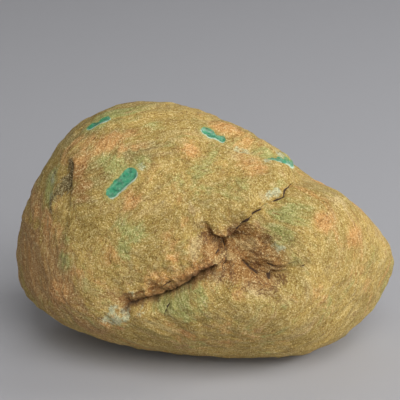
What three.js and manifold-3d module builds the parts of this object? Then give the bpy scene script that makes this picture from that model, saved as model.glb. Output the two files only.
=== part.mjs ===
// A raw jade boulder: one water-worn stone, about 140 mm long, that lies on a low flat underneath.
// It is egg-shaped, tall on the left and drawn out to a blunt nose on the right. A lobe wraps round its
// front and right, parted from the main dome by a long fold with a deep pit at its middle.
// Four small windows are ground flat into the skin to show the jade.
// Axes: +X to the right along the length, -Y the front with the fold, +Z up, in millimetres.
// The origin lies under the middle of the stone's box, at the level it rests on.
import * as THREE from "three";
import { mergeVertices } from "three/addons/utils/BufferGeometryUtils.js";
import Module from "manifold-3d";

// Half length, half depth and half height of the egg that the stone was before its faces wore flat
const EGG = new THREE.Vector3(88, 52, 58);
// How tightly the egg and the worn faces meet: higher gives sharper edges
const EDGE_SHARPNESS = 11;
// How far the resting face lies below the middle, and over what height the belly turns into it
const REST_DROP = 44.2;
const REST_BLEND = 0.6;

// Grid squares along each side of the starting cube, the size that spreads them evenly, and how much closer
// they lie round the pit
const GRID = 24;
const GRID_SPREAD = new THREE.Vector3(70, 45, 48);
const CROWDING = 1.35;
const CROWD_CENTRE = { bearing: 5, rise: 8 };

// Every place on the stone is a bearing, from the front (0) towards the right (90), and a rise above level.
// Worn faces: bearing, rise, and distance from the middle
const WORN_FACES = {
  leftEnd: [-90, -4, 86],
  leftShoulder: [-98, 22, 69],
  topLeftLow: [-106, 36, 64.5],
  topLeft: [-125, 56, 66],
  crown: [-160, 69, 53],
  topRight: [142, 65, 45],
  rightSlope: [120, 53, 40],
  rightShoulder: [113, 46, 43.2],
  noseTop: [103, 28, 65.5],
  nose: [94, 4, 84],
  noseUnder: [73, -38, 72],
  bellyRight: [54, -58, 69.5],
  belly: [0, -70, 51.8],
  bellyLeft: [-47, -62, 52.5],
  leftUnder: [-78, -30, 81],
  base: [0, -90, 46.7],
  front: [-8, 14, 44],
  upperFront: [5, 48, 46],
  leftFront: [-50, 2, 60],
  rightFront: [45, -5, 60],
  lowFront: [-5, -35, 47],
  back: [180, 5, 43],
  backLow: [175, -40, 47],
  backLeft: [-138, 0, 58],
  backRight: [140, -5, 58],
  backTop: [178, 40, 46],
};

// Troughs run along a path. depths are spaced evenly along it, and the banks are the widths to its left and
// right, seen from outside. lean is how far the bed is pushed up for each millimetre of depth, so that the
// upper bank hangs over.
const TROUGHS = {
  valley: {
    path: [[8, 12], [20, 20], [30, 26], [43, 32], [58, 34], [80, 35], [102, 31], [112, 29]],
    depths: [0, 3.5, 4, 3.5, 5, 4.8, 3.6, 2, 0],
    leftBank: 11,
    rightBank: 14,
    lean: 0,
  },
  underDome: {
    path: [[-46, -18], [-33, -14], [-19, -10], [-5, -2], [8, 5]],
    depths: [0, 3.5, 4.5, 3.5, 0],
    leftBank: 14,
    rightBank: 5,
    lean: 0.1,
  },
  lip: {
    path: [[-8, 19], [-4, 22], [0, 24], [4, 17.5], [9, 16], [15, 17], [18, 20], [22, 25]],
    depths: [0, 1.5, 2.5, 4.6, 5.5, 4.5, 2.5, 0],
    leftBank: 2.5,
    rightBank: 7,
    lean: 0.4,
  },
  cleft: {
    path: [[-38, -17], [-30, -14], [-25, -13], [-19, -11], [-12, -7], [-5, -2], [1, 1.5], [6, 5]],
    depths: [0, 3, 5, 6, 6, 6, 5, 0],
    leftBank: 2.8,
    rightBank: 3.4,
    lean: 0.35,
  },
  lobeNotch: {
    path: [[15, 7], [20, 4], [24, 1], [28, 0], [33, 2], [40, 4.5]],
    depths: [0, 2.5, 4, 4, 2.5, 0],
    leftBank: 5,
    rightBank: 2.5,
    lean: 0,
  },
  leftNotch: {
    path: [[-59, 17], [-60, 22], [-61.5, 28], [-65, 35]],
    depths: [0, 4, 6, 0],
    leftBank: 8.5,
    rightBank: 2.5,
    lean: 0,
  },
  behindRidge: {
    path: [[-6, 66], [9, 63], [20, 59], [31, 56], [42, 49], [52, 42], [64, 36]],
    depths: [0, 1.4, 1.8, 2, 2, 1.6, 0],
    leftBank: 9,
    rightBank: 2.5,
    lean: 0,
  },
};

// Soft dents and, with a negative depth, soft swellings: bearing, rise, depth and width
const DENTS = {
  pitLeft: [3, 12, 2.6, 6.5],
  pitMiddle: [11, 9, 3, 7],
  pitRight: [20, 10, 5.5, 9.5],
  pitEnd: [25, 4, 3.2, 6.5],
  lobeLeft: [-28, -26, -1.5, 13],
  lobeMiddle: [0, -15, -2.5, 14],
  lobeRight: [26, -12, -2.5, 14],
  leftHollow: [-70, 24, 1.8, 9],
  noseTip: [98, 14, -0.8, 14],
};

// Ground windows: the bearing and rise of each end, and the width
const WINDOWS = {
  frontLeft: { from: [-46, 28], to: [-39.5, 41.5], width: 4.0 },
  topLeft: { from: [-70, 45], to: [-70, 53], width: 2.4 },
  top: { from: [-3, 69], to: [20, 64], width: 2.4 },
  topRight: { from: [45, 48], to: [66, 41], width: 2.6 },
};
const WINDOW_DEPTH = 0.6;
const WINDOW_CUTTER_HEIGHT = 6;
const WINDOW_ARC_STEPS = 6;

const STONE_SKIN = { color: 0xa8915a, roughness: 0.85, metalness: 0 };

const UP = new THREE.Vector3(0, 0, 1);
const wasm = await Module();
wasm.setup();

function globe(bearing, rise) {
  const turn = THREE.MathUtils.degToRad(bearing);
  const tilt = THREE.MathUtils.degToRad(rise);
  const level = Math.cos(tilt);
  return new THREE.Vector3(Math.sin(turn) * level, -Math.cos(turn) * level, Math.sin(tilt));
}

const faces = Object.values(WORN_FACES).map(([bearing, rise, distance]) => ({
  normal: globe(bearing, rise),
  distance,
}));

// Distance from the middle to the worn body: a smooth least distance to the egg and all of its faces
function wornRadius(direction) {
  let sum = direction.clone().divide(EGG).length() ** EDGE_SHARPNESS;
  for (const { normal, distance } of faces) {
    sum += (Math.max(0, direction.dot(normal)) / distance) ** EDGE_SHARPNESS;
  }
  return sum ** (-1 / EDGE_SHARPNESS);
}

function onWornBody(bearing, rise) {
  const direction = globe(bearing, rise);
  return direction.multiplyScalar(wornRadius(direction));
}

const troughs = Object.values(TROUGHS).map((trough) => {
  const points = trough.path.map(([bearing, rise]) => onWornBody(bearing, rise));
  const lengths = points.slice(1).map((point, i) => point.distanceTo(points[i]));
  return { ...trough, points, lengths, total: lengths.reduce((sum, length) => sum + length) };
});

const dents = Object.values(DENTS).map(([bearing, rise, depth, width]) => ({
  centre: onWornBody(bearing, rise),
  depth,
  width,
}));

// The nearest place on a trough's path: how far away, how far along, and whether the point is on its left
function nearestOnPath(point, { points, lengths, total }) {
  const nearest = { distance: Infinity, along: 0, isLeft: false };
  let passed = 0;
  lengths.forEach((length, i) => {
    const step = points[i + 1].clone().sub(points[i]);
    const offset = point.clone().sub(points[i]);
    const share = THREE.MathUtils.clamp(offset.dot(step) / step.lengthSq(), 0, 1);
    offset.addScaledVector(step, -share);
    if (offset.length() < nearest.distance) {
      nearest.distance = offset.length();
      nearest.along = (passed + share * length) / total;
      nearest.isLeft = step.cross(offset).dot(point) > 0;
    }
    passed += length;
  });
  return nearest;
}

// Depth of a trough under a point: an eased run of its depths, falling off smoothly up each bank
function troughDepth(point, trough) {
  const { distance, along, isLeft } = nearestOnPath(point, trough);
  const place = along * (trough.depths.length - 1);
  const stop = Math.min(Math.floor(place), trough.depths.length - 2);
  const ease = THREE.MathUtils.smoothstep(place - stop, 0, 1);
  const depth = THREE.MathUtils.lerp(trough.depths[stop], trough.depths[stop + 1], ease);
  return depth * (1 - THREE.MathUtils.smoothstep(distance, 0, isLeft ? trough.leftBank : trough.rightBank));
}

// The belly turns smoothly into the resting face and is exactly flat below it
function settledHeight(z) {
  const over = z + REST_DROP;
  if (over >= REST_BLEND) return over;
  if (over <= -REST_BLEND) return 0;
  return (over + REST_BLEND) ** 2 / (4 * REST_BLEND);
}

// The stone's surface in one direction from its middle, above the level it rests on
function surfacePoint(direction) {
  const worn = direction.clone().multiplyScalar(wornRadius(direction));
  const point = worn.clone();
  for (const trough of troughs) {
    const depth = troughDepth(worn, trough);
    point.addScaledVector(direction, -depth).addScaledVector(UP, depth * trough.lean);
  }
  for (const { centre, depth, width } of dents) {
    point.addScaledVector(direction, -depth * Math.exp(-worn.distanceToSquared(centre) / width ** 2));
  }
  return point.setZ(settledHeight(point.z));
}

// Draws grid directions closer together round the pit
const crowdAxis = globe(CROWD_CENTRE.bearing, CROWD_CENTRE.rise);
function crowd(direction) {
  const angle = direction.angleTo(crowdAxis);
  const drawn = 2 * Math.atan(Math.tan(angle / 2) / CROWDING);
  const side = direction.clone().projectOnPlane(crowdAxis).normalize();
  return side.multiplyScalar(Math.sin(drawn)).addScaledVector(crowdAxis, Math.cos(drawn));
}

// A cube's grid, blown up into a ball of even squares and then on to the stone's surface
function stoneGeometry() {
  const cube = new THREE.BoxGeometry(2, 2, 2, GRID, GRID, GRID);
  cube.deleteAttribute("normal");
  cube.deleteAttribute("uv");
  const geometry = mergeVertices(cube);
  const position = geometry.getAttribute("position");
  const evened = (part) => Math.tan((part * Math.PI) / 4);
  for (let i = 0; i < position.count; i += 1) {
    const corner = new THREE.Vector3().fromBufferAttribute(position, i);
    const ball = new THREE.Vector3(evened(corner.x), evened(corner.y), evened(corner.z)).normalize();
    const point = surfacePoint(crowd(ball).multiply(GRID_SPREAD).normalize());
    position.setXYZ(i, point.x, point.y, point.z);
  }
  return geometry;
}

// The way out of the stone at a place, square to its surface
function outwardAt(bearing, rise) {
  const right = surfacePoint(globe(bearing + 1, rise)).sub(surfacePoint(globe(bearing - 1, rise)));
  const upward = surfacePoint(globe(bearing, rise + 1)).sub(surfacePoint(globe(bearing, rise - 1)));
  return right.cross(upward).normalize();
}

// A slot with round ends that stands on the flat of a window and takes away the skin above it
function windowCutter({ from, to, width }) {
  const start = surfacePoint(globe(...from));
  const end = surfacePoint(globe(...to));
  const middle = [(from[0] + to[0]) / 2, (from[1] + to[1]) / 2];
  const outward = outwardAt(...middle);
  const along = end.clone().sub(start).projectOnPlane(outward).normalize();
  const across = outward.clone().cross(along);

  const reach = start.distanceTo(end) / 2 - width / 2;
  const outline = new THREE.Shape();
  outline.absarc(reach, 0, width / 2, -Math.PI / 2, Math.PI / 2);
  outline.absarc(-reach, 0, width / 2, Math.PI / 2, (3 * Math.PI) / 2);
  const cutter = new THREE.ExtrudeGeometry(outline, {
    depth: WINDOW_CUTTER_HEIGHT,
    bevelEnabled: false,
    curveSegments: WINDOW_ARC_STEPS,
  });
  const place = new THREE.Matrix4().makeBasis(along, across, outward);
  place.setPosition(surfacePoint(globe(...middle)).addScaledVector(outward, -WINDOW_DEPTH));
  return cutter.applyMatrix4(place);
}

function toSolid(geometry) {
  geometry.deleteAttribute("normal");
  geometry.deleteAttribute("uv");
  const merged = mergeVertices(geometry);
  return new wasm.Manifold(
    new wasm.Mesh({
      numProp: 3,
      vertProperties: new Float32Array(merged.getAttribute("position").array),
      triVerts: new Uint32Array(merged.index.array),
    }),
  );
}

function toGeometry(solid) {
  const mesh = solid.getMesh();
  const geometry = new THREE.BufferGeometry();
  geometry.setAttribute("position", new THREE.BufferAttribute(mesh.vertProperties, 3));
  geometry.setIndex(new THREE.BufferAttribute(mesh.triVerts, 1));
  geometry.computeVertexNormals();
  return geometry;
}

// Moves the stone sideways until the middle of its box is over the origin
function centred(geometry) {
  geometry.computeBoundingBox();
  const middle = geometry.boundingBox.getCenter(new THREE.Vector3());
  return geometry.translate(-middle.x, -middle.y, 0);
}

function makeBoulder() {
  let stone = toSolid(stoneGeometry());
  for (const place of Object.values(WINDOWS)) {
    stone = stone.subtract(toSolid(windowCutter(place)));
  }
  const geometry = centred(toGeometry(stone));
  const boulder = new THREE.Mesh(geometry, new THREE.MeshStandardMaterial(STONE_SKIN));
  boulder.name = "boulder";
  return boulder;
}

const part = new THREE.Group();
part.add(makeBoulder());

export default part;
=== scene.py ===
import math
import bpy
import numpy as np
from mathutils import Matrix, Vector


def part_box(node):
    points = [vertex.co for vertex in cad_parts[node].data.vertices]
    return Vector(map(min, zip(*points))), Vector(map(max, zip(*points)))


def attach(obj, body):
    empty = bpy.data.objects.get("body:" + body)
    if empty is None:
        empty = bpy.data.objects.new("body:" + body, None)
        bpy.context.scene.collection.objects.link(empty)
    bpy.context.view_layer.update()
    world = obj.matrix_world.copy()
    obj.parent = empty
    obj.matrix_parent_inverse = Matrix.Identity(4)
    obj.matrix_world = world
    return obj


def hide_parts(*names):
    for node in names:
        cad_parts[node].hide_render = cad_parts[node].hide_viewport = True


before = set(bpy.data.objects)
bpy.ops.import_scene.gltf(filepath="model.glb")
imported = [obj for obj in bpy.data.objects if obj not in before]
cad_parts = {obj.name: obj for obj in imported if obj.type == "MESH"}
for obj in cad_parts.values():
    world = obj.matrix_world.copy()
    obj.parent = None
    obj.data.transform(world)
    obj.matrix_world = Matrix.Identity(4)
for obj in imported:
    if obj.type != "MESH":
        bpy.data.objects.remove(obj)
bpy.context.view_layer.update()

stoneLow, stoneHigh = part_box("boulder")
stoneMiddle = (stoneLow + stoneHigh) / 2
mm = 0.001
farAway = 9.0                          # a distance in millimetres that counts as away from everything

# a low view, square to the stone's long front
camera = {
    "rise": 20,                        # degrees above level
    "distance": 0.45,
    "lens": 108.9,
    "sensor": 36,
    "aimOffset": (-0.0017, 0.0065, 0.0075),   # from the middle of the stone's box
}


def makeCamera(values):
    rise = math.radians(values["rise"])
    data = bpy.data.cameras.new("viewCamera")
    data.lens = values["lens"]
    data.sensor_width = values["sensor"]
    viewer = bpy.data.objects.new("viewCamera", data)
    bpy.context.scene.collection.objects.link(viewer)
    back = Vector((0, -math.cos(rise), math.sin(rise)))
    aim = stoneMiddle + Vector(values["aimOffset"])
    viewer.location = aim + back * values["distance"]
    viewer.rotation_euler = (math.pi / 2 - rise, 0, 0)
    bpy.context.scene.camera = viewer


makeCamera(camera)
print("camera set")

# The stone's form is worked out in millimetres from the stone's middle.
# A place on the stone is a bearing, from the front (0) towards the right (90), and a rise above level.
boulder = {
    "squares": 128,                    # grid squares along each side of the starting cube
    "spread": (70, 45, 48),            # spreads the squares evenly over the long body
    "crowding": 2.0,                   # how much closer the squares lie round the pit
    "crowdCentre": (5, 8),
    "egg": (88, 52, 58),               # half sizes of the egg before its faces wore flat
    "edgeSharpness": 11,
    "restDrop": 44.2,                  # the resting face, below the middle
    "restBlend": 0.6,
    # worn faces: bearing, rise, distance from the middle
    "wornFaces": {
        "leftEnd": (-90, -4, 86),
        "leftShoulder": (-98, 22, 69),
        "topLeftLow": (-106, 36, 64.5),
        "topLeft": (-125, 56, 66),
        "crown": (-160, 69, 53),
        "topRight": (142, 65, 45),
        "rightSlope": (120, 53, 40),
        "rightShoulder": (113, 46, 43.2),
        "noseTop": (103, 28, 65.5),
        "nose": (94, 4, 84),
        "noseUnder": (73, -38, 72),
        "bellyRight": (54, -58, 69.5),
        "belly": (0, -70, 51.8),
        "bellyLeft": (-47, -62, 52.5),
        "leftUnder": (-78, -30, 81),
        "base": (0, -90, 46.7),
        "front": (-8, 14, 44),
        "upperFront": (5, 48, 46),
        "leftFront": (-50, 2, 60),
        "rightFront": (45, -5, 60),
        "lowFront": (-5, -35, 47),
        "back": (180, 5, 43),
        "backLow": (175, -40, 47),
        "backLeft": (-138, 0, 58),
        "backRight": (140, -5, 58),
        "backTop": (178, 40, 46),
    },
    # troughs: path, depths along it, widths of the banks to its left and right, and how far the bed is
    # pushed up for each millimetre of depth, which makes the upper bank hang over
    "troughs": {
        "valley": (((8, 12), (20, 20), (30, 26), (43, 32), (58, 34), (80, 35), (102, 31), (112, 29)),
                   (0, 3.5, 4, 3.5, 5, 4.8, 3.6, 2, 0), 11, 14, 0),
        "underDome": (((-46, -18), (-33, -14), (-19, -10), (-5, -2), (8, 5)),
                      (0, 3.5, 4.5, 3.5, 0), 14, 5, 0.1),
        "lip": (((-8, 19), (-4, 22), (0, 24), (4, 17.5), (9, 16), (15, 17), (18, 20), (22, 25)),
                (0, 1.5, 2.5, 4.6, 5.5, 4.5, 2.5, 0), 1.3, 6, 0.4),
        "cleft": (((-38, -17), (-30, -14), (-25, -13), (-19, -11), (-12, -7), (-5, -2), (1, 1.5), (6, 5)),
                  (0, 2, 3.5, 5, 6, 7, 6.5, 0), 1.0, 2.0, 0.35),
        "lobeNotch": (((15, 7), (20, 4), (24, 1), (28, 0), (33, 2), (40, 4.5)),
                      (0, 2.5, 4, 4, 2.5, 0), 5, 1.5, 0),
        "leftNotch": (((-58, 17), (-59, 22), (-60.5, 28), (-64, 35)),
                      (0, 3.4, 5, 0), 8.5, 1.6, 0),
        "behindRidge": (((-6, 66), (9, 63), (20, 59), (31, 56), (42, 49), (52, 42), (64, 36)),
                        (0, 1.4, 1.8, 2, 2, 1.6, 0), 9, 1.8, 0),
    },
    # soft dents, and swellings with a negative depth: bearing, rise, depth, width
    "dents": {
        "pitLeft": (3, 12, 2.6, 6.5),
        "pitMiddle": (11, 9, 3, 7),
        "pitRight": (20, 10, 5.5, 9.5),
        "pitEnd": (25, 4, 3.2, 6.5),
        "pitFloor": (0, 2, 1.6, 3.5),
        "lobeLeft": (-28, -26, -1.5, 13),
        "lobeMiddle": (0, -15, -2.5, 14),
        "lobeRight": (26, -12, -2.5, 14),
        "leftHollow": (-70, 24, 1.8, 9),
        "noseTip": (98, 14, -0.8, 14),
        "chip": (31, 12, 1.1, 3.0),
        "backHollow": (-158, 14, 1.6, 9),
        "backScoop": (148, 28, 1.8, 12),
    },
    # fine cracks: path, depth, half width of the dark gap along it
    "cracks": {
        "seam": (((17, 21), (19, 23), (23, 25), (26, 27.5), (31, 29.5), (36, 30), (39, 30.5), (41, 31.5),
                  (43, 33), (48, 34.5)),
                 1.2, (0.5, 0.5, 0.3, 0.26, 0.32, 0.42, 0.4, 0.4, 0.28, 0)),
        "belowCleft": (((-14, -8.5), (-15.5, -12), (-17, -15), (-17.5, -18), (-17, -20)),
                       0.5, (0, 0.14, 0.18, 0.1, 0)),
        "aboveCleft": (((-31, -10), (-27, -9), (-22, -8.5), (-17, -5), (-13, -2)),
                       0.6, (0, 0.24, 0.02, 0.2, 0)),
        "onLobe": (((36.5, 25), (34.5, 22.5), (33, 19)), 0.5, (0, 0.16, 0)),
        "pitStem": (((9, 15.5), (11, 12), (10.5, 8), (8.5, 3), (9, 0)), 0.9, (0.1, 0.3, 0.26, 0.2, 0)),
        "pitBranch": (((9.5, 13), (6, 10), (3, 8.5)), 0.7, (0.14, 0.24, 0)),
        "pitTwig": (((10.5, 10), (7, 6), (4, 4.5)), 0.7, (0.14, 0.26, 0)),
        "pitFoot": (((15, 9), (19, 5), (22.5, 1), (23.5, -1)), 0.7, (0, 0.2, 0.26, 0)),
        "ledgeLine": (((15, 6), (19, 4), (23, 1), (26, -0.5), (30, 1.5), (34, 3), (40, 5)),
                      0.8, (0, 0.26, 0.34, 0.34, 0.3, 0.3, 0)),
        "ledgeUpper": (((25, 6), (28, 4), (32, 4), (37, 6)), 0.5, (0, 0.2, 0.24, 0)),
        "notchLine": (((-58.5, 19), (-59, 22), (-60.5, 28), (-63, 34)), 0.8, (0, 0.5, 0.8, 0)),
        "topLine": (((20, 60), (28, 56), (36, 52), (44, 46)), 0.5, (0, 0.3, 0.34, 0)),
        "backLong": (((-128, 30), (-140, 24), (-152, 21), (-163, 13), (-176, 9), (170, 2)),
                     0.9, (0, 0.3, 0.2, 0.36, 0.3, 0)),
        "backShort": (((-163, 13), (-166, 4), (-163, -6), (-166, -14)), 0.7, (0.1, 0.26, 0.16, 0)),
        "backTop": (((150, 48), (160, 40), (158, 32), (166, 24)), 0.6, (0, 0.22, 0.24, 0)),
    },
    # ground windows: the two ends, width, depth, and how ragged the edge is
    "windows": {
        "frontLeft": ((-46, 28), (-39.5, 41.5), 4.0, 0.5, 0.35),
        "topLeft": ((-70, 45), (-70, 53), 2.2, 0.35, 0.5),
        "top": ((-3, 69), (20, 64), 2.3, 0.35, 0.5),
        "topRight": ((45, 48), (66, 41), 2.3, 0.35, 0.8),
    },
    # creases that spread from the bottom of the pit: bearing, rise, reach, depth
    "creases": (12, 15, 17, 0.9),
    # the surface's own unevenness, strength and size: swells, lumps, pocks, layers along the rings, and the
    # rough face of broken places
    "relief": {
        "swells": (0.5, 22),
        "lumps": (0.35, 7),
        "pocks": (0.1, 1.7),
        "layers": (0.4, 5),
        "broken": (1.1, 4.2),
    },
    "flakes": 1.3,                     # how far the flakes stand out along the cleft
    "ringBend": (8, 24),               # how far the rings are bent, and the size of the bends
    "wander": (0.6, 3),                # how far paths wander, and the size of the bends
    # the stone's layers run in rings round this middle, x and z, and change this much slower along the ring
    "rings": (4, 0, 0.7),
}


def globe(bearing, rise):
    # unit vector: east is the sine and front the cosine of the bearing, both times the cosine of the rise
    turn, tilt = np.radians(bearing), np.radians(rise)
    return np.stack([np.sin(turn) * np.cos(tilt), -np.cos(turn) * np.cos(tilt), np.sin(tilt)], -1)


def easeStep(share):
    # 3s^2 - 2s^3, held at 0 and 1 outside the run
    held = np.clip(share, 0, 1)
    return held * held * (3 - 2 * held)


def unit(vectors):
    return vectors / np.linalg.norm(vectors, axis=-1, keepdims=True)


wornNormals = globe(*np.array([face[:2] for face in boulder["wornFaces"].values()], float).T)
wornDistances = np.array([face[2] for face in boulder["wornFaces"].values()], float)


def wornRadius(directions):
    # (sum of (n.d / h)^p over the worn faces, plus |d / egg|^p) ^ (-1/p), a soft least distance
    power = boulder["edgeSharpness"]
    shares = np.maximum(0, directions @ wornNormals.T) / wornDistances
    egg = np.linalg.norm(directions / np.array(boulder["egg"]), axis=-1)
    return ((shares ** power).sum(-1) + egg ** power) ** (-1 / power)


def onWornBody(places):
    directions = globe(*np.array(places, float).T)
    return directions * wornRadius(directions)[:, None]


def alongPath(points, path):
    # nearest place on a path for every point: distance, share of the length passed, and whether it is on
    # the left, from the sign of (step x offset) . point
    steps = np.diff(path, axis=0)
    lengths = np.linalg.norm(steps, axis=1)
    passed = np.concatenate([[0], np.cumsum(lengths)])
    offsets = points[:, None] - path[None, :-1]
    shares = np.clip((offsets * steps).sum(-1) / (lengths ** 2), 0, 1)
    offsets = offsets - shares[..., None] * steps
    distances = np.linalg.norm(offsets, axis=-1)
    nearest = distances.argmin(1)
    rows = np.arange(len(points))
    along = (passed[nearest] + shares[rows, nearest] * lengths[nearest]) / passed[-1]
    side = (np.cross(steps[nearest], offsets[rows, nearest]) * points).sum(-1)
    return distances[rows, nearest], along, side > 0


def easedStops(stops, share):
    # values spaced evenly over 0 to 1, eased from each one to the next
    stops = np.array(stops, float)
    place = share * (len(stops) - 1)
    stop = np.minimum(place.astype(int), len(stops) - 2)
    return stops[stop] + (stops[stop + 1] - stops[stop]) * easeStep(place - stop)


def wandered(points):
    # moved about by noise, so that whatever is drawn along a path wanders
    amount, size = boulder["wander"]
    return points + amount * np.stack([layeredNoise(points, size, 2, seed) for seed in (81, 82, 83)], -1)


def troughDepth(points, trough):
    # depth along the path times 1 - ease(distance / bank)
    places, depths, leftBank, rightBank, _ = trough
    distance, along, onLeft = alongPath(wandered(points), onWornBody(places))
    return easedStops(depths, along) * (1 - easeStep(distance / np.where(onLeft, leftBank, rightBank)))


def crackFields(points, crack):
    # distance to the edge of the gap, and a shallow groove round it that fades out with the gap
    places, depth, halfWidths = crack
    distance, along, _ = alongPath(wandered(points), onWornBody(places))
    halfWidth = easedStops(halfWidths, along)
    groove = depth * (1 - easeStep(distance / (0.5 + 2 * halfWidth))) * easeStep(halfWidth / 0.2)
    return distance - halfWidth, groove


def pitPlace(points, place):
    # (5 cos t, 5 sin t, distance / 3) round the pit's middle, to draw noise outwards, and the distance
    centre = onWornBody([place])[0]
    outward = unit(centre)
    east = unit(np.cross((0, 0, 1), outward))
    offset = points - centre
    across, upward = offset @ east, offset @ np.cross(outward, east)
    distance = np.hypot(across, upward)
    turned = np.stack([5 * across / (distance + 1), 5 * upward / (distance + 1), distance / 3], -1)
    return turned + 40, distance


def ringPlace(points, rings):
    # (slow * 50 cos t, distance - |y|, slow * 50 sin t) round the rings' middle
    middleX, middleZ, slow = rings
    across, upward = points[:, 0] - middleX, points[:, 2] - middleZ
    distance = np.hypot(across, upward)
    share = slow * 50 / (distance + 12)
    return np.stack([across * share, distance - np.abs(points[:, 1]), upward * share], -1)


def dentDepth(points, dent):
    # depth * exp(-(distance / width)^2)
    bearing, rise, depth, width = dent
    centre = onWornBody([(bearing, rise)])[0]
    return depth * np.exp(-((points - centre) ** 2).sum(-1) / width ** 2)


def hashLattice(cell, seed):
    # a repeatable value from -1 to 1 for each whole-number cell
    key = (cell[:, 0] * 73856093) ^ (cell[:, 1] * 19349663) ^ (cell[:, 2] * 83492791) ^ (seed * 2654435761)
    key = ((key ^ (key >> 13)) * 1274126177) & 0xFFFFFFFF
    key = ((key ^ (key >> 16)) * 2246822519) & 0xFFFFFFFF
    return ((key ^ (key >> 15)) & 0xFFFF) / 32767.5 - 1


def latticeNoise(points, size, seed):
    # lattice values blended in each cell with the quintic 6t^5 - 15t^4 + 10t^3
    scaled = points / size
    cell = np.floor(scaled).astype(np.int64)
    inside = scaled - cell
    weight = inside ** 3 * (inside * (inside * 6 - 15) + 10)
    total = 0
    for corner in np.ndindex(2, 2, 2):
        share = np.prod(np.where(corner, weight, 1 - weight), axis=1)
        total = total + share * hashLattice(cell + np.array(corner), seed)
    return total


def layeredNoise(points, size, layers, seed, fade=0.5):
    # each layer is half the size and fade times the strength of the one before
    return sum(fade ** i * latticeNoise(points, size / 2 ** i, seed + 17 * i) for i in range(layers))


def ridgedNoise(points, size, layers, seed):
    # 1 - |noise| in each layer, so that crests are sharp
    return sum(0.5 ** i * (1 - 2 * np.abs(latticeNoise(points, size / 2 ** i, seed + 17 * i)))
               for i in range(layers))


def cubeBall(squares, crowding, centre):
    # a cube's grid with its squares evened by tan(pi/4 * t), blown up to a ball; angles from the crowding
    # centre are then drawn in by 2 * atan(tan(angle / 2) / crowding)
    side = np.tan(np.linspace(-1, 1, squares + 1) * np.pi / 4)
    a, b = np.meshgrid(side, side, indexing="ij")
    one = np.ones_like(a)
    sheets = [(one, a, b), (-one, b, a), (b, one, a), (a, -one, b), (a, b, one), (b, a, -one)]
    points = np.concatenate([np.stack(sheet, -1).reshape(-1, 3) for sheet in sheets])
    index = np.arange((squares + 1) ** 2).reshape(squares + 1, squares + 1)
    quads = np.stack([index[:-1, :-1], index[1:, :-1], index[1:, 1:], index[:-1, 1:]], -1).reshape(-1, 4)
    quads = np.concatenate([quads + i * (squares + 1) ** 2 for i in range(len(sheets))])
    keys = np.round(points * 1e6).astype(np.int64)
    _, first, welded = np.unique(keys, axis=0, return_index=True, return_inverse=True)
    points, quads = unit(points[first]), welded.reshape(-1)[quads]
    pole = globe(*centre)
    height = points @ pole
    drawn = 2 * np.arctan(np.tan(np.arccos(np.clip(height, -1, 1)) / 2) / crowding)
    side = points - height[:, None] * pole
    side = side / np.maximum(np.linalg.norm(side, axis=1, keepdims=True), 1e-12)
    return side * np.sin(drawn)[:, None] + pole * np.cos(drawn)[:, None], quads


def settledHeight(z, values):
    # flat below the resting level, and (z + b)^2 / 4b within b of it
    over, blend = z + values["restDrop"], values["restBlend"]
    turned = (over + blend) ** 2 / (4 * blend)
    return np.where(over >= blend, over, np.where(over <= -blend, 0, turned))


def grindWindow(points, outline):
    # a slot with round ends: distance to its centre line, less half its width. Skin above the flat is
    # taken off.
    start, end, width, depth, middle, outward = outline
    along = unit(end - start - ((end - start) @ outward) * outward)
    offset = points - middle
    reach = (np.linalg.norm(end - start) - width) / 2
    lengthwise = offset @ along
    beyond = lengthwise - np.clip(lengthwise, -reach, reach)
    crosswise = offset @ np.cross(outward, along)
    edge = np.hypot(beyond, crosswise) - width / 2
    height = offset @ outward
    edge = np.where(np.abs(height) < 5, edge, farAway)
    ground = np.minimum(height, -depth) - height
    # the pale rim lies where the outline, moved towards the lower right, leaves the window
    moved = np.hypot(beyond, crosswise + 0.5) - width / 2
    rim = np.where(edge < 3, moved, farAway)
    return points + (ground * (1 - easeStep((edge + 0.35) / 0.7)))[:, None] * outward, edge, rim


def outwardAt(points, middle, reach):
    # square to the plane that fits the points within reach best: the last direction of their decomposition
    near = points[np.linalg.norm(points - middle, axis=1) < reach]
    normal = np.linalg.svd(near - near.mean(0), full_matrices=False)[2][-1]
    return normal * np.sign(normal @ middle)


def cleftFields(worn, values):
    # signed distance from the cleft's line, its share that fades out at the ends, and the flakes above it
    distance, along, onLeft = alongPath(wandered(worn), onWornBody(values["troughs"]["cleft"][0]))
    above = np.where(onLeft, distance, -distance)
    share = np.where(distance < 14, easeStep(along / 0.1) * easeStep((1 - along) / 0.06), 0)
    flake = ridgedNoise(np.stack([16 * along, above, 0 * along], -1) + 20, 2.6, 3, 61) - 0.5
    return above, share, flake * share * np.exp(-((above - 2.5) / 3.5) ** 2)


def seamFields(worn, crack):
    # signed distance from the seam's line and the half width of its gap
    places, _, halfWidths = crack
    distance, along, onLeft = alongPath(wandered(worn), onWornBody(places))
    return np.clip(np.where(onLeft, distance, -distance), -farAway, farAway), easedStops(halfWidths, along)


def creaseFields(worn, values):
    bearing, rise, reach, depth = values["creases"]
    spread, distance = pitPlace(worn, (bearing, rise))
    return spread, (ridgedNoise(spread, 3.2, 3, 53) - 0.6) * np.exp(-(distance / reach) ** 4), depth


def reliefHeight(worn, rings, bend, broken, values):
    # every part of the unevenness is its strength times noise of its size
    relief = values["relief"]
    height = relief["swells"][0] * layeredNoise(worn, relief["swells"][1], 2, 3)
    height = height + relief["lumps"][0] * layeredNoise(worn, relief["lumps"][1], 3, 11)
    height = height + relief["layers"][0] * layeredNoise(rings, relief["layers"][1], 3, 37, 0.6)
    height = height + relief["pocks"][0] * layeredNoise(worn, relief["pocks"][1], 1, 23)
    strength, size = relief["broken"]
    return height + broken * strength * (ridgedNoise(worn * (1, 1, 1.4) + 0.2 * bend, size, 3, 31) - 0.4)


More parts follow.
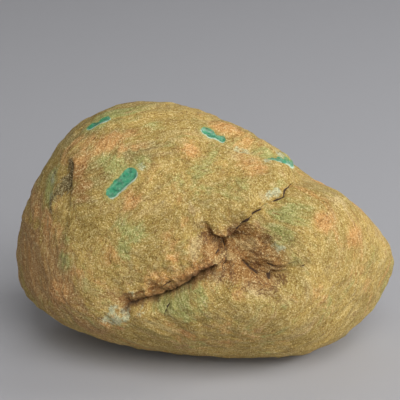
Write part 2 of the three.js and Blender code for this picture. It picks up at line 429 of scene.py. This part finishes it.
def grindWindows(points, worn, windows):
    # the nearest window's edge and rim, roughened by noise, and how much skin is left in it
    fields = {
        "windowEdge": np.full(len(points), farAway),
        "rimEdge": np.full(len(points), farAway),
        "skinLeft": np.zeros(len(points)),
    }
    for start, end, width, depth, ragged in windows.values():
        place = (np.array(start) + end) / 2
        ends = onWornBody([start, end])
        middle = points[((worn - onWornBody([place])[0]) ** 2).sum(-1).argmin()]
        outline = (*ends, width, depth, middle, outwardAt(points, middle, 2 * width))
        points, edge, rim = grindWindow(points, outline)
        wander = ragged * layeredNoise(worn, 2.2, 2, 71)
        fields["windowEdge"] = np.minimum(fields["windowEdge"], edge + wander)
        fields["rimEdge"] = np.minimum(fields["rimEdge"], rim + wander)
        fields["skinLeft"] = np.where(edge < 3, ragged, fields["skinLeft"])
    return points, fields


def makeForm(values):
    ball, quads = cubeBall(values["squares"], values["crowding"], values["crowdCentre"])
    directions = unit(ball * np.array(values["spread"]))
    worn = directions * wornRadius(directions)[:, None]
    depths = {name: troughDepth(worn, trough) for name, trough in values["troughs"].items()}
    leans = sum(depths[name] * trough[4] for name, trough in values["troughs"].items())
    dents = {name: dentDepth(worn, dent) for name, dent in values["dents"].items()}
    pit = sum(depth for name, depth in dents.items() if name.startswith("pit"))
    swell = sum(depth for name, depth in dents.items() if not name.startswith("pit"))
    cracks = [crackFields(worn, crack) for crack in values["cracks"].values()]
    grooves = sum(groove for _, groove in cracks)
    aboveSlot, slotShare, flake = cleftFields(worn, values)
    seamSide, seamWidth = seamFields(worn, values["cracks"]["seam"])
    spread, crease, creaseDepth = creaseFields(worn, values)
    amount, size = values["ringBend"]
    bend = amount * np.stack([layeredNoise(worn, size, 2, seed) for seed in (91, 92, 93)], -1)
    rings = ringPlace(worn, values["rings"]) + bend
    broken = np.clip(pit / 4 + depths["lip"] / 4 + depths["cleft"] / 6 + depths["lobeNotch"] / 5, 0, 1)
    relief = reliefHeight(worn, rings, bend, broken, values)
    relief = relief + values["flakes"] * flake + creaseDepth * crease
    inward = sum(depths.values()) + grooves + pit + swell - relief
    points = worn - directions * inward[:, None]
    points[:, 2] += leans
    points, fields = grindWindows(points, worn, values["windows"])
    points[:, 2] = settledHeight(points[:, 2], values)
    ledgeDistance = alongPath(worn, onWornBody(values["troughs"]["behindRidge"][0]))[0]
    fields.update({
        # depth of the hollows, which the skin darkens as painted shade
        "hollowShade": depths["lip"] + depths["lobeNotch"] * 0.8 + depths["leftNotch"] * 0.6 + grooves,
        # depth of the pit and under the lip, which browns the skin, partly as painted shade
        "pit": pit + 0.8 * depths["lip"],
        "crackEdge": np.minimum(farAway, np.min([edge for edge, _ in cracks], axis=0)),
        "seamSide": seamSide,
        "seamWidth": seamWidth,
        "aboveSlot": aboveSlot,
        "slotShare": slotShare,
        "flake": flake,
        "crease": crease,
        "rings": rings * mm,
        "spread": spread * mm,
        "ledge": np.exp(-(ledgeDistance / 2) ** 2),
    })
    return points, quads, worn, fields


# tints laid on the skin by place: real stains, and painted light among them. The shade spots are painted
# shade in the left notch, the pit and the cleft's end. The brown spots in the pit and at the cleft's end,
# and the drab on the upper left, are partly painted shade. The chalk on the upper right ridge and the cream
# on the lump left of the pit are partly painted highlights. Each is bearing, rise, radius, strength
tints = {
    "moss": (
        (29.5, 14, 2.5, 1), (30, 61, 4, 0.9), (44, 52, 4, 1), (62, 44, 5, 0.9), (-37, 45, 3, 1),
        (-44, 62, 5, 0.8), (-120, 20, 10, 0.9), (-158, 42, 9, 0.8), (150, 12, 11, 0.8),
        (172, -14, 9, 0.8), (122, 34, 7, 0.7), (38, 23, 8, 0.9), (-49, 40, 5, 0.9), (-71, 49, 6, 0.9),
        (-56, 1, 3.5, 1), (-47, 6, 6, 0.6), (-35, 18, 6, 0.7), (-34, 10, 5, 0.7), (-18, 5, 3, 0.9),
        (-16, -13, 4, 0.9), (-9, -9, 4, 1), (-3, -6, 4, 1), (-9, -15, 5, 0.9), (3, -4, 3, 0.7),
        (-22, -15, 3, 0.8), (-8, 42, 4, 0.7), (-73, 57, 9, 0.9), (50, -13, 4, 0.7), (-72, 24, 3, 0.9),
        (-70, 20, 3, 0.9), (-71, 26, 6, 0.9), (-68, 19, 5, 0.7), (-3, 49, 7, 0.5), (20, 38, 5, 0.7),
        (32, 17, 3.5, 0.9), (-25, 16, 6, 0.5), (8, 60, 5, 0.6), (40, 52, 5, 0.7), (-52, 40, 5, 0.4),
        (30, -32, 6, 0.4),
    ),
    # dull drab, laid on the upper left partly as painted shade
    "drab": (
        (-58, 41, 12, 0.8), (-56, 36, 7, 1), (-59, 30, 6, 1), (-54, 25, 6, 0.8), (-50, 44, 6, 0.9),
        (-140, 5, 14, 0.8), (165, 32, 12, 0.8), (128, -12, 10, 0.6), (-175, 62, 10, 0.7),
        (-62, 46, 9, 0.9), (-45, 52, 7, 0.7), (-57, 44, 8, 0.9), (-67, 41, 7, 0.9), (-50, 36, 5, 0.6),
        (-60, 52, 6, 0.5), (-36, 45, 3.5, 0.9), (-50, 12, 6, 0.4), (-20, 22, 6, 0.5), (3, 33, 6, 0.4),
        (15, 30, 5, 0.6), (60, -10, 6, 0.3),
    ),
    "rust": (
        (-66, 34, 4, 0.9), (-64, 40, 4, 1), (-60, 44, 4.5, 1), (-48, 54, 4, 0.8), (-132, 38, 9, 0.9),
        (-168, 8, 10, 0.9), (140, 40, 8, 0.9), (118, 6, 9, 0.8), (-110, 50, 8, 0.8),
        (158, -24, 10, 0.8), (-62, 10, 5, 0.9), (-50, -3, 5, 0.8), (-60, -12, 6, 0.8),
        (-40, -22, 6, 0.7), (-10, -28, 7, 0.6), (-55, 48, 6, 1), (-60, 35, 4, 1), (-56, 30, 4, 0.7),
        (-11, 58, 5, 1), (27, 49, 5, 0.9), (34, 46, 4, 0.8), (-37, 31, 5, 0.9), (46, 18, 4, 1),
        (57, 9, 5, 0.8), (-6, 15, 4, 0.7), (-16, 8, 6, 0.9), (-22, -5, 6, 0.8), (13, -4, 4, 0.4),
        (31, 69, 6, 0.8), (38, 60, 6, 0.8), (16, 74, 6, 0.8), (-31, 42, 5, 0.5), (62, 40, 5, 0.7),
        (-8, 0, 5, 0.9), (75, 15, 6, 0.7), (20, -28, 7, 0.5), (-70, 12, 5, 0.8),
    ),
    "redEarth": (
        (-58, -14, 9, 0.9), (-48, -26, 8, 0.9), (-63, 4, 8, 0.8), (-115, -12, 16, 0.8),
        (-165, -30, 16, 0.6), (135, -35, 14, 0.6), (178, 22, 9, 0.6), (-80, 8, 12, 0.8),
        (-67, -10, 16, 0.9), (-52, -18, 15, 0.7), (-75, 2, 15, 0.8), (-59, 7, 9, 0.4),
        (-42, -8, 9, 0.4), (-69, 11, 8, 0.6), (-65, 20, 3, 0.6), (-90, -10, 20, 0.8),
        (-30, -35, 14, 0.4), (10, -45, 18, 0.4),
    ),
    # the pit's brown, laid darker in the pit and at the cleft's end partly as painted shade
    "umberAndShade": (
        (-2, 3, 3.5, 1), (2, 5.5, 3, 1), (168, 10, 6, 0.8), (-150, 22, 5, 0.8), (8, 11, 4, 1),
        (12, 8, 4, 0.9), (20, 14, 5, 0.8), (24, 9, 5, 0.8), (-1, 19, 4, 0.8), (1, 13, 5, 0.7),
        (1, 8, 4, 0.6), (13, 4, 5, 0.9), (16, 8, 5, 0.9), (5, 3, 4, 0.8), (22, 4, 4, 0.8),
        (-9, 0, 4, 0.5), (-4, 1.5, 3, 1), (0, 4, 3.5, 1), (22, -2, 5, 0.6), (-55, 26, 5, 0.9),
        (-57, 32, 4, 0.8),
    ),
    # painted shade: dark spots where the notch's wall, the pit's lip and the cleft's overhang cast shadow
    "shade": (
        (-40, -21.5, 1.6, 0.9), (-44, -19, 1.5, 0.8), (-36, -17.5, 1.5, 0.8), (-3, 1.8, 2.2, 1),
        (1, 4.2, 2.4, 1), (8, 12, 2.6, 0.8), (10, 8, 2.2, 0.7), (-63.5, 33, 1.8, 1),
        (-63.5, 31, 2.2, 1), (-64, 28, 2.4, 1), (-64.5, 25, 2.4, 1), (-66, 22, 2.4, 1),
        (-67, 19, 2.2, 1), (-66, 16, 2, 0.8), (-70, 27, 2, 0.7), (-5, -0.5, 2.5, 0.9),
        (-1, 1.5, 2.5, 1), (2, 3.5, 2.5, 0.9), (-1, 20, 2.5, 0.7), (3, 17, 2.5, 0.6), (8, 15, 2.5, 0.8),
        (13, 15, 2.5, 0.6), (27, 2, 2.5, 0.7), (31, 3, 2.5, 0.6),
    ),
    # pale chalky patches, and painted glints along the upper right ridge
    "chalkAndGlint": (
        (-37.5, 43.5, 2, 0.9), (-42, -20, 2.5, 1), (-38, -20.5, 2.8, 1), (-34, -18.5, 2.2, 1),
        (-28, -17, 2, 0.6), (-40, -16, 2, 0.9), (-57, 14, 2, 0.7), (-36, -11, 2, 0.8),
        (-32, -10, 2.5, 0.8), (26, 57, 2.2, 1), (56, 48, 3, 1), (-71, 25, 2.5, 0.9),
        (-69, 20, 2.5, 0.8), (31.5, 11, 2, 1), (30.5, 13, 1.4, 1), (-22, 12, 3, 0.6),
        (34, 33.5, 2.2, 1), (38, 33.5, 2, 1), (40, 47, 2.2, 0.9), (33, 55, 2.2, 1),
    ),
    # cream patches and fibres, and painted highlights on the lump left of the pit and on the upper right
    # ridge
    "creamAndHighlight": (
        (-178, 46, 6, 0.8), (132, 20, 6, 0.8), (-128, 8, 5, 0.8), (-2, 15, 3.5, 1), (2, 11, 3, 1),
        (-4, 12, 3, 1), (20, -1, 3, 0.8), (26, -2.5, 3, 0.8), (5, 1, 2.5, 0.7), (33, 33.5, 2, 1),
        (36.5, 32, 2, 1), (29, 34, 1.8, 0.8), (37, 37, 2, 0.8), (-3, 16, 2.5, 0.9), (1, 13, 3, 1),
        (-3, 10, 2.5, 0.7), (18, -2.5, 3, 0.8), (23, -4, 3, 0.9), (28, -2, 2.2, 0.8), (6, -1, 3, 0.6),
        (60, 22, 5, 0.5), (80, 10, 6, 0.5), (20, 54, 4, 0.6), (31, 50, 4, 0.6), (-25, 52, 5, 0.5),
        (8, 42, 4, 0.5),
    ),
}


def tintField(worn, spots):
    # one less the product of (1 - strength * exp(-(distance / radius)^2)) over the spots
    clear = np.ones(len(worn))
    for bearing, rise, radius, strength in spots:
        clear *= 1 - dentDepth(worn, (bearing, rise, strength, radius))
    return 1 - clear


def makeMesh(name, points, quads, fields):
    mesh = bpy.data.meshes.new(name)
    mesh.vertices.add(len(points))
    mesh.vertices.foreach_set("co", points.astype(np.float32).ravel())
    mesh.loops.add(quads.size)
    mesh.loops.foreach_set("vertex_index", quads.astype(np.int32).ravel())
    mesh.polygons.add(len(quads))
    mesh.polygons.foreach_set("loop_start", np.arange(0, quads.size, 4, dtype=np.int32))
    mesh.polygons.foreach_set("use_smooth", np.ones(len(quads), bool))
    mesh.update(calc_edges=True)
    for field, values in fields.items():
        kind, key = ("FLOAT", "value") if values.ndim == 1 else ("FLOAT_VECTOR", "vector")
        attribute = mesh.attributes.new(field, kind, "POINT")
        attribute.data.foreach_set(key, values.astype(np.float32).ravel())
    piece = bpy.data.objects.new(name, mesh)
    bpy.context.scene.collection.objects.link(piece)
    return piece


def outwardQuads(points, quads):
    # turns a quad round where its diagonals' cross product points back at the middle
    a, b, c, d = (points[quads[:, i]] for i in range(4))
    inwards = (np.cross(c - a, d - b) * (a + b + c + d)).sum(-1) < 0
    return np.where(inwards[:, None], quads[:, ::-1], quads)


def makeBoulder(values):
    points, quads, worn, fields = makeForm(values)
    quads = outwardQuads(worn, quads)
    for name, spots in tints.items():
        fields[name] = tintField(worn, spots)
    middle = (points.min(0) + points.max(0)) / 2
    points = (points - (middle[0], middle[1], 0)) * mm + (stoneMiddle.x, stoneMiddle.y, stoneLow.z)
    return makeMesh("jade_boulder", points, quads, fields)


stone = makeBoulder(boulder)
print("boulder shaped:", len(stone.data.vertices), "points")

skin = {
    "ochre": (0.51, 0.343, 0.085, 1),
    "olive": (0.40, 0.272, 0.060, 1),
    "drab": (0.235, 0.19, 0.055, 1),
    "tan": (0.56, 0.41, 0.155, 1),
    "rust": (0.72, 0.34, 0.105, 1),
    "moss": (0.34, 0.365, 0.105, 1),
    "redEarth": (0.42, 0.215, 0.072, 1),
    # the two pale colours below are the rind's pale patches, partly painted glints and highlights on the
    # ridge and the lump by the pit
    "chalkAndGlint": (0.50, 0.54, 0.35, 1),
    "creamAndHighlight": (0.60, 0.455, 0.195, 1),
    "darkGrain": (0.26, 0.19, 0.03, 1),
    "lightGrain": (1.0, 0.84, 0.44, 1),
    # the browns and darks below are partly painted shade in the pit, the notches, the slot, the creases and
    # the hollows; the two darkest also colour real hair lines and cracks
    "umberAndShade": (0.34, 0.155, 0.034, 1),
    "shade": (0.085, 0.052, 0.018, 1),
    "bark": (0.15, 0.062, 0.018, 1),
    "crevice": (0.05, 0.024, 0.012, 1),
    "jade": (0.016, 0.28, 0.13, 1),
    "jadeDark": (0.005, 0.11, 0.055, 1),
    "jadePale": (0.50, 0.68, 0.55, 1),
    # how strongly each kind of stain covers; the umber, drab and cream are partly painted shade and
    # highlight
    "stains": {"redEarth": 0.85, "drab": 0.8, "moss": 0.85, "rust": 0.7, "umberAndShade": 0.8, "creamAndHighlight": 0.85},
    # how much each size of grain adds to the light and dark
    "grains": {"dust": 2.0, "grain": 1.1, "fleck": 1.0, "streak": 0.5, "blotch": 0.2},
    "roughness": (0.91, 0.73),         # between the grains and on them
    "windowRoughness": 0.3,
    # how much each size of grain stands out, and by how many metres at most
    "bumps": {"dust": 0.6, "grain": 1, "fleck": 1},
    "grainBump": 0.6,
    "grainDepth": 0.0005,
}


class Shader:
    # small helpers that place and join the nodes of one material
    def __init__(self, name):
        self.material = bpy.data.materials.new(name)
        self.material.use_nodes = True
        self.tree = self.material.node_tree
        self.surface = self.tree.nodes["Principled BSDF"]
        self.place = self.node("ShaderNodeTexCoord").outputs["Object"]

    def node(self, kind, **settings):
        made = self.tree.nodes.new(kind)
        for key, value in settings.items():
            setattr(made, key, value)
        return made

    def feed(self, socket, value):
        if isinstance(value, bpy.types.NodeSocket):
            self.tree.links.new(value, socket)
        else:
            socket.default_value = value

    def noise(self, scale, layers=3, rough=0.55, seed=0, place=None, distortion=0):
        # scale in features a metre
        made = self.node("ShaderNodeTexNoise", noise_dimensions="4D")
        self.feed(made.inputs["Vector"], place or self.place)
        self.feed(made.inputs["W"], seed)
        self.feed(made.inputs["Scale"], scale)
        self.feed(made.inputs["Detail"], layers)
        self.feed(made.inputs["Roughness"], rough)
        self.feed(made.inputs["Distortion"], distortion)
        return made.outputs["Fac"]

    def attribute(self, name, output="Fac"):
        return self.node("ShaderNodeAttribute", attribute_name=name).outputs[output]

    def math(self, operation, *values):
        made = self.node("ShaderNodeMath", operation=operation)
        for socket, value in zip(made.inputs, values):
            self.feed(socket, value)
        return made.outputs[0]

    def plus(self, value, noise, amount):
        # value + amount * (noise - 1/2)
        return self.math("ADD", value, self.math("MULTIPLY", self.math("SUBTRACT", noise, 0.5), amount))

    def ramp(self, value, low, high, toLow=0, toHigh=1):
        made = self.node("ShaderNodeMapRange", interpolation_type="SMOOTHSTEP")
        for socket, part in zip(made.inputs, (value, low, high, toLow, toHigh)):
            self.feed(socket, part)
        return made.outputs[0]

    def mix(self, share, first, second, blend="MIX"):
        made = self.node("ShaderNodeMix", data_type="RGBA", blend_type=blend)
        self.feed(made.inputs[0], share)
        self.feed(made.inputs[6], first)
        self.feed(made.inputs[7], second)
        return made.outputs[2]


def rindColour(shader, place, values):
    # ochre clouded with olive, tan, rust and moss, drawn out along the rings
    mix, ramp, noise = shader.mix, shader.ramp, shader.noise
    colour = mix(ramp(noise(60, 4, 0.6, 6, place), 0.42, 0.60), values["olive"], values["ochre"])
    for name, scale, seed, low, high, strength in (("tan", 130, 7, 0.50, 0.66, 0.7),
                                                   ("rust", 95, 8, 0.54, 0.68, 0.55),
                                                   ("moss", 90, 9, 0.54, 0.68, 0.6)):
        colour = mix(ramp(noise(scale, 5, 0.65, seed, place), low, high, 0, strength), colour, values[name])
    return colour


def stainColour(shader, colour, grains, values):
    # stains laid by place, their outlines broken up by noise, then the painted shade spots
    plus, ramp, mix, attribute = shader.plus, shader.ramp, shader.mix, shader.attribute
    blotch, streak, fleck = grains["blotch"], grains["streak"], grains["fleck"]
    for name, strength in values["stains"].items():
        laid = plus(plus(plus(attribute(name), blotch, 0.9), streak, 1.1), grains["drift"], 3.2)
        colour = mix(ramp(laid, 0.32, 1.0, 0, strength), colour, values[name])
    # painted shade: the shade spots darken the notch, the pit and the cleft's end
    laid = plus(plus(attribute("shade"), fleck, 2.2), streak, 2.2)
    return mix(ramp(laid, 0.4, 1.0, 0, 0.8), colour, values["shade"])


def pitColour(shader, colour, grains, place, values):
    # brown by depth, the pit's own brown and partly painted shade in the hollow, with dark lines between its
    # creases that are partly painted shade, cream on their crests that is partly painted highlight, chalk
    # laid over with painted glints among it, and a pale line along the ledge
    plus, ramp, mix, attribute = shader.plus, shader.ramp, shader.mix, shader.attribute
    pit = plus(attribute("pit"), grains["blotch"], 5)
    # the pit's brown with painted shade: browner the deeper the pit and the lip
    colour = mix(ramp(pit, 0.8, 3.4, 0, 0.85), colour, values["umberAndShade"])
    fibre = shader.noise(800, 4, 0.65, 17, place)
    crease = shader.math("MULTIPLY", plus(attribute("crease"), fibre, 2.6), ramp(attribute("pit"), 0.6, 2.4))
    # cream on the crests of the creases: pale fibres, partly painted highlight
    colour = mix(ramp(crease, 0.3, 1.0, 0, 0.4), colour, values["creamAndHighlight"])
    # bark in the lows between the creases: the pit's dark fibres, partly painted shade
    colour = mix(ramp(crease, -0.2, -0.8, 0, 0.75), colour, values["bark"])
    # pale chalky patches, partly painted glints on the ridge
    laid = plus(plus(attribute("chalkAndGlint"), grains["blotch"], 1.6), grains["fleck"], 1.6)
    colour = mix(ramp(laid, 0.5, 0.95, 0, 0.8), colour, values["chalkAndGlint"])
    # a pale tan line along the ledge behind the ridge, partly painted highlight on the ridge's edge
    ledge = plus(plus(attribute("ledge"), grains["streak"], 1.4), grains["fleck"], 0.8)
    return mix(ramp(ledge, 0.6, 1.2, 0, 0.6), colour, values["tan"])


def lipColour(shader, colour, grains, above, values):
    # the ragged rusty lip above the cleft, darker between its flakes (partly painted shade), and near-black
    # painted shade in the deep hollows
    plus, ramp, mix, attribute, math = shader.plus, shader.ramp, shader.mix, shader.attribute, shader.math
    lip = math("MULTIPLY", ramp(above, 1.4, 2.4), ramp(above, 6.5, 3.2))
    lip = math("MULTIPLY", lip, attribute("slotShare"))
    flake = plus(attribute("flake"), grains["fleck"], 0.8)
    colour = mix(ramp(flake, 0.15, 0.5, 0, 0.35), colour, values["rust"])
    # umber where the flakes sink, partly painted shade between them
    colour = mix(ramp(flake, 0.02, -0.3, 0, 0.85), colour, values["umberAndShade"])
    dark = math("MULTIPLY", lip, ramp(grains["streak"], 0.42, 0.6, 0.55, 0.05))
    colour = mix(dark, colour, values["umberAndShade"])
    rusty = math("MULTIPLY", lip, ramp(grains["blotch"], 0.5, 0.62, 0, 0.5))
    colour = mix(rusty, colour, values["rust"])
    # painted shade: near-black laid by the depth of the lip, the notches and the grooves, where shadow falls
    hollowShade = plus(attribute("hollowShade"), grains["streak"], 5)
    return mix(ramp(hollowShade, 2.2, 6, 0, 0.75), colour, values["crevice"])


def grainColour(shader, colour, grains, values):
    # grains darken the rind, or lighten it towards a pale cream
    shade = 0.5
    for name, amount in values["grains"].items():
        shade = shader.plus(shade, grains[name], amount)
    colour = shader.mix(shader.ramp(shade, 0.58, -0.35), colour, values["darkGrain"], "MULTIPLY")
    return shader.mix(shader.ramp(shade, 0.42, 1.35, 0, 0.85), colour, values["lightGrain"])


def slotColour(shader, colour, above, values):
    # painted shade in the cleft's slot over its dark brown, darkest in its middle
    ramp, math = shader.ramp, shader.math
    for name, upper, lower, strength in (("bark", (3.6, 1.6), (-1.7, -1.0), 0.72),
                                         ("crevice", (1.1, 0.3), (-1.1, -0.6), 0.7)):
        band = math("MULTIPLY", ramp(above, *upper), ramp(above, *lower))
        band = math("MULTIPLY", band, shader.attribute("slotShare"))
        colour = shader.mix(math("MULTIPLY", band, strength), colour, values[name])
    return colour


def hairColour(shader, colour, rings, spread, values):
    # hair lines where noise crosses a half, most of them where the stone is broken
    ramp, noise, math = shader.ramp, shader.noise, shader.math
    broken = ramp(math("ADD", shader.attribute("pit"), shader.attribute("chalkAndGlint")), 0.3, 2.0, 0.25, 0.9)
    for place, scale, seed in ((rings, 160, 21), (rings, 330, 22), (spread, 420, 23)):
        line = math("ABSOLUTE", math("SUBTRACT", noise(scale, 3, 0.7, seed, place), 0.5))
        line = math("MULTIPLY", ramp(line, 0.022, 0.004), ramp(noise(200, 2, 0.5, seed + 10), 0.45, 0.6))
        colour = shader.mix(math("MULTIPLY", line, broken), colour, values["bark"])
    return colour


def crackColour(shader, colour, fleck, values):
    # fine cracks, then the seam, whose line is followed more closely
    plus, ramp, mix, noise, math = shader.plus, shader.ramp, shader.mix, shader.noise, shader.math
    gap = plus(shader.attribute("crackEdge"), noise(900, 2, 0.6, 11), 0.45)
    colour = mix(ramp(gap, 0.16, -0.04, 0, 0.92), colour, values["crevice"])
    side = math("ABSOLUTE", plus(shader.attribute("seamSide"), noise(500, 3, 0.6, 19), 0.7))
    halfWidth = math("MULTIPLY", shader.attribute("seamWidth"), ramp(fleck, 0.3, 0.7, 0.5, 1.3))
    return mix(ramp(math("SUBTRACT", side, halfWidth), 0.1, -0.06, 0, 0.92), colour, values["crevice"])


def windowColour(shader, colour, grains, values):
    # clouded jade with a pale rim on one side, a green haze round it, and skin left on it in flecks
    plus, ramp, mix, noise = shader.plus, shader.ramp, shader.mix, shader.noise
    edge = plus(shader.attribute("windowEdge"), noise(700, 3, 0.6, 12), 0.9)
    rim = plus(shader.attribute("rimEdge"), noise(800, 3, 0.6, 13), 0.8)
    jade = mix(ramp(noise(700, 3, 0.6, 14), 0.46, 0.60, 0, 0.8), values["jade"], values["jadeDark"])
    jade = mix(ramp(noise(900, 2, 0.5, 15), 0.55, 0.75, 0, 0.3), jade, values["jadePale"])
    jade = mix(1, jade, plus(1, grains["dust"], 0.6), "MULTIPLY")
    colour = mix(ramp(plus(edge, grains["blotch"], 3), 2.2, -0.4, 0, 0.45), colour, values["moss"])
    colour = mix(ramp(rim, 0.1, -0.15, 0, 0.8), colour, values["jadePale"])
    inWindow = ramp(edge, 0.12, -0.12)
    flecks = ramp(grains["fleck"], 0.35, 0.65, 0.05, 0.6)
    left = shader.math("MULTIPLY", shader.attribute("skinLeft"), flecks)
    shown = shader.math("MULTIPLY", inWindow, shader.math("SUBTRACT", 1, left))
    return mix(shown, colour, jade), inWindow


def skinRoughness(shader, grain, inWindow, values):
    # the rind is matt, a little smoother on its grains, and the windows are polished
    rough = shader.ramp(grain, 0.3, 0.7, *values["roughness"])
    polished = shader.node("ShaderNodeMix", data_type="FLOAT")
    shader.feed(polished.inputs[0], inWindow)
    shader.feed(polished.inputs[2], rough)
    shader.feed(polished.inputs[3], values["windowRoughness"])
    return polished.outputs[0]


def skinBump(shader, grains, inWindow, values):
    height = 0
    for name, amount in values["bumps"].items():
        height = shader.plus(height, grains[name], amount)
    height = shader.math("MULTIPLY", height, shader.math("SUBTRACT", 1, inWindow))
    bump = shader.node("ShaderNodeBump")
    shader.feed(bump.inputs["Strength"], values["grainBump"])
    shader.feed(bump.inputs["Distance"], values["grainDepth"])
    shader.feed(bump.inputs["Height"], height)
    return bump.outputs[0]


def makeSkin(values):
    shader = Shader("weathered_jade")
    noise = shader.noise
    rings, spread = shader.attribute("rings", "Vector"), shader.attribute("spread", "Vector")
    grains = {
        "blotch": noise(240, 4, 0.6, 2),
        "streak": noise(280, 4, 0.65, 16, rings),
        "drift": noise(95, 4, 0.6, 18, rings),
        "fleck": noise(900, 3, 0.65, 3, rings),
        "grain": noise(1400, 2, 0.6, 4),
        "dust": noise(2500, 1, 0.5, 5),
    }
    above = shader.plus(shader.attribute("aboveSlot"), grains["blotch"], 2.4)
    colour = rindColour(shader, rings, values)
    colour = stainColour(shader, colour, grains, values)
    colour = pitColour(shader, colour, grains, spread, values)
    colour = lipColour(shader, colour, grains, above, values)
    colour = grainColour(shader, colour, grains, values)
    colour = slotColour(shader, colour, above, values)
    colour = hairColour(shader, colour, rings, spread, values)
    colour = crackColour(shader, colour, grains["fleck"], values)
    colour, inWindow = windowColour(shader, colour, grains, values)
    shader.feed(shader.surface.inputs["Base Color"], colour)
    rough = skinRoughness(shader, grains["grain"], inWindow, values)
    shader.feed(shader.surface.inputs["Roughness"], rough)
    shader.feed(shader.surface.inputs["Normal"], skinBump(shader, grains, inWindow, values))
    return shader.material


stone.data.materials.append(makeSkin(skin))
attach(stone, "root")
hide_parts("boulder")
print("skin made")

studio = {
    "paper": (0.44, 0.44, 0.46, 1),
    "paperRoughness": 0.9,
    "floorFront": -3,
    "floorDepth": 0.9,                 # behind the stone, before it turns up
    "sweepSteps": 24,
    "sweepRadius": 0.5,
    "wallHeight": 1.6,
    "halfWidth": 3.0,
    "lamps": {                         # bearing, rise, size, power
        "right": (88, 26, 0.4, 6.8),
        "rightFront": (60, 30, 0.6, 7),
        "lowFront": (30, 16, 1.0, 8.2),
        "high": (15, 52, 1.0, 13.2),
        "left": (-75, 30, 1.2, 2.7),
        "back": (165, 35, 1.2, 4),
    },
    "lampDistance": 1.6,
    "lampTarget": (0, 0, 0.04),
    "air": 0.05,                       # even light from all round
}


def makeBackdrop(values):
    # a profile carried sideways: level floor, a quarter circle up, then an upright wall
    turn = np.linspace(0, np.pi / 2, values["sweepSteps"])
    radius, start = values["sweepRadius"], values["floorDepth"]
    depth = np.concatenate([[values["floorFront"]], start + radius * np.sin(turn), [start + radius]])
    height = np.concatenate([[0], radius * (1 - np.cos(turn)), [values["wallHeight"]]])
    across = np.array([-1, 1]) * values["halfWidth"]
    points = np.stack([np.tile(across, len(depth)), np.repeat(depth, 2), np.repeat(height, 2)], -1)
    row = np.arange(len(depth) - 1) * 2
    quads = np.stack([row, row + 1, row + 3, row + 2], -1)
    floor = makeMesh("studio_floor", points, quads, {})
    shader = Shader("studio_paper")
    shader.surface.inputs["Base Color"].default_value = values["paper"]
    shader.surface.inputs["Roughness"].default_value = values["paperRoughness"]
    floor.data.materials.append(shader.material)


def makeLights(values):
    target = Vector(values["lampTarget"])
    for name, (bearing, rise, size, power) in values["lamps"].items():
        lamp = bpy.data.lights.new(name, "AREA")
        lamp.energy = power
        lamp.size = size
        holder = bpy.data.objects.new(name, lamp)
        outward = Vector(globe(bearing, rise))
        holder.location = target + outward * values["lampDistance"]
        holder.rotation_euler = outward.to_track_quat("Z", "Y").to_euler()
        bpy.context.scene.collection.objects.link(holder)
    world = bpy.data.worlds.new("studioAir")
    world.use_nodes = True
    world.node_tree.nodes["Background"].inputs["Color"].default_value = (1, 1, 1, 1)
    world.node_tree.nodes["Background"].inputs["Strength"].default_value = values["air"]
    bpy.context.scene.world = world
    bpy.context.scene.view_settings.view_transform = "Standard"


makeBackdrop(studio)
makeLights(studio)
print("studio set")
